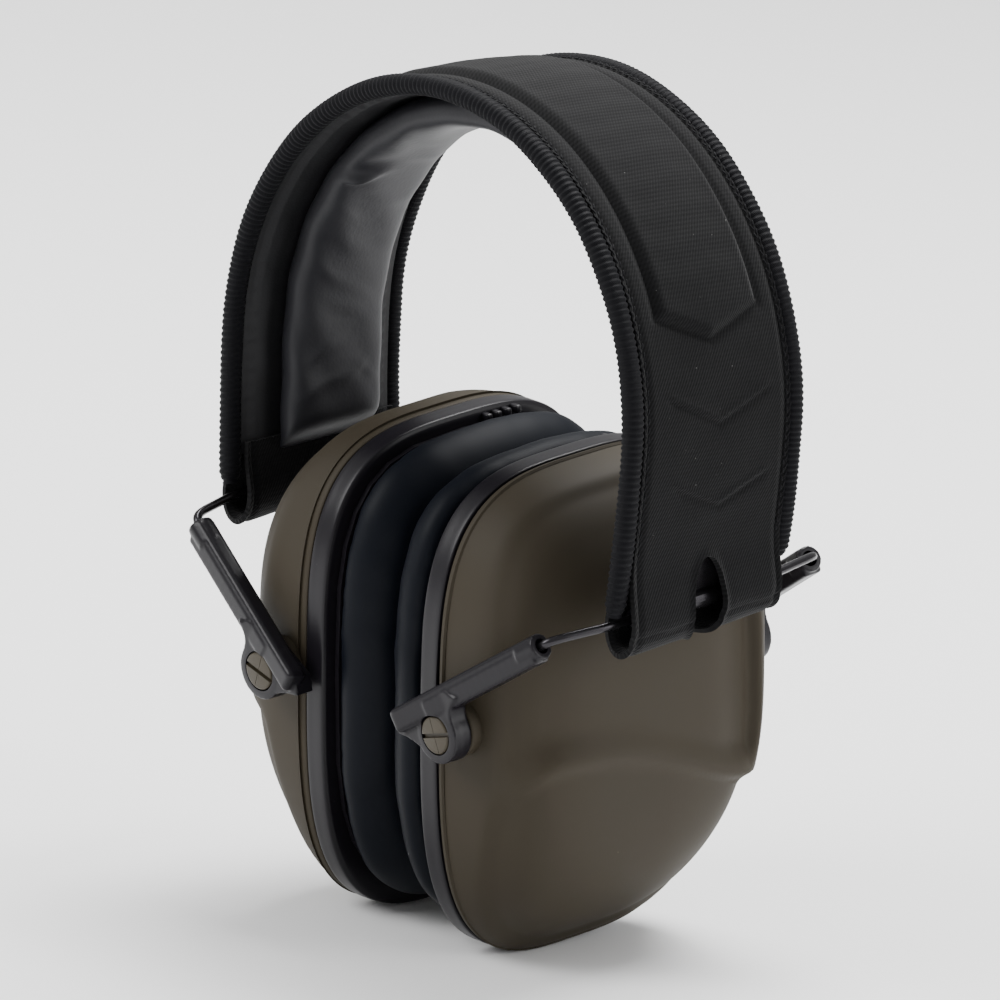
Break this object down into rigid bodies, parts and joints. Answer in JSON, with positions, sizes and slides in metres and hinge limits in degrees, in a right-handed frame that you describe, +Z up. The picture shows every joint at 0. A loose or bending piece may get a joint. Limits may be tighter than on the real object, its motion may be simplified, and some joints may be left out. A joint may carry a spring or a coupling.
{
  "type": "ear muff",
  "caption": "Slim folding ear muff: padded cloth headband, hinged wire yokes, sliding arms and oval cups with ring cushions.",
  "frame": {"origin": "where the crown of the head meets the pad under the top of the band", "axes": "+Z up, X across the head from ear to ear, -Y to the front"},
  "size_m": [0.1328, 0.0928, 0.1857],
  "materials": {
    "cover_cloth": "matt fine twill",
    "lining_cloth": "matt cloth",
    "binding_thread": "ribbed overlock thread",
    "leatherette": "soft satin",
    "pad_foam": "open-cell foam",
    "damper_foam": "open-cell foam",
    "cushion_skin": "smooth satin",
    "olive_shell": "soft-touch matt",
    "grey_plastic": "satin",
    "screw_olive": "satin",
    "black_steel": "gloss black oxide",
    "brass_insert": "turned"
  },
  "bodies": {
    "headband": {"band_cover": "cover_cloth", "band_binding_front": "binding_thread", "band_binding_rear": "binding_thread", "band_spring": "black_steel", "band_lining": "lining_cloth", "band_pad_foam": "pad_foam", "band_pad_skin": "leatherette", "hem_sleeve_front_right": "grey_plastic", "hem_sleeve_rear_right": "grey_plastic", "hem_sleeve_front_left": "grey_plastic", "hem_sleeve_rear_left": "grey_plastic"},
    "yoke_right": {"yoke_wire_right": "black_steel"},
    "front_arm_right": {"arm_front_right": "grey_plastic"},
    "rear_arm_right": {"arm_rear_right": "grey_plastic", "pivot_screw_rear_right": "screw_olive"},
    "cup_right": {"cup_shell_right": "olive_shell", "cup_rim_right": "grey_plastic", "cushion_plate_right": "grey_plastic", "cushion_skin_right": "cushion_skin", "cushion_foam_right": "pad_foam", "ear_screen_right": "damper_foam", "damper_foam_right": "damper_foam", "pivot_screw_front_right": "screw_olive", "pivot_insert_front_right": "brass_insert", "pivot_insert_rear_right": "brass_insert"},
    "yoke_left": {"yoke_wire_left": "black_steel"},
    "front_arm_left": {"arm_front_left": "grey_plastic"},
    "rear_arm_left": {"arm_rear_left": "grey_plastic", "pivot_screw_rear_left": "screw_olive"},
    "cup_left": {"cup_shell_left": "olive_shell", "cup_rim_left": "grey_plastic", "cushion_plate_left": "grey_plastic", "cushion_skin_left": "cushion_skin", "cushion_foam_left": "pad_foam", "ear_screen_left": "damper_foam", "damper_foam_left": "damper_foam", "pivot_screw_front_left": "screw_olive", "pivot_insert_front_left": "brass_insert", "pivot_insert_rear_left": "brass_insert"}
  },
  "joints": [
    {"name": "yoke_swing_right", "type": "hinge", "parent": "headband", "child": "yoke_right", "pos_m": [0.0603, 0.00117, -0.08791], "axis": [0, -0.9928, -0.1201], "range_deg": [0, 50]},
    {"name": "front_arm_slide_right", "type": "slide", "parent": "yoke_right", "child": "front_arm_right", "axis": [-0.8316, -0.0906, -0.548], "range_m": [0, 0.015], "deforming": ["cushion_skin_right", "cushion_skin_left", "cushion_foam_right", "cushion_foam_left"]},
    {"name": "rear_arm_slide_right", "type": "slide", "parent": "yoke_right", "child": "rear_arm_right", "axis": [-0.8316, 0.2187, -0.5106], "range_m": [0, 0.015]},
    {"name": "cup_tilt_right", "type": "hinge", "parent": "front_arm_right", "child": "cup_right", "pos_m": [0.0282, 0.00435, -0.11422], "axis": [0, -0.9928, -0.1201], "range_deg": [-8, 8], "deforming": ["cushion_skin_right", "cushion_skin_left", "cushion_foam_right", "cushion_foam_left"]},
    {"name": "yoke_swing_left", "type": "hinge", "parent": "headband", "child": "yoke_left", "pos_m": [-0.0603, 0.00117, -0.08791], "axis": [0, 0.9928, 0.1201], "range_deg": [0, 50]},
    {"name": "front_arm_slide_left", "type": "slide", "parent": "yoke_left", "child": "front_arm_left", "axis": [0.8316, -0.0906, -0.548], "range_m": [0, 0.015], "deforming": ["cushion_skin_right", "cushion_skin_left", "cushion_foam_right", "cushion_foam_left"]},
    {"name": "rear_arm_slide_left", "type": "slide", "parent": "yoke_left", "child": "rear_arm_left", "axis": [0.8316, 0.2187, -0.5106], "range_m": [0, 0.015]},
    {"name": "cup_tilt_left", "type": "hinge", "parent": "front_arm_left", "child": "cup_left", "pos_m": [-0.0282, 0.00435, -0.11422], "axis": [0, 0.9928, 0.1201], "range_deg": [-8, 8], "deforming": ["cushion_skin_right", "cushion_skin_left", "cushion_foam_right", "cushion_foam_left"]}
  ],
  "couplings": [
    {"joint": "rear_arm_slide_right", "follows": "front_arm_slide_right", "ratio": 1},
    {"joint": "rear_arm_slide_left", "follows": "front_arm_slide_left", "ratio": 1}
  ]
}
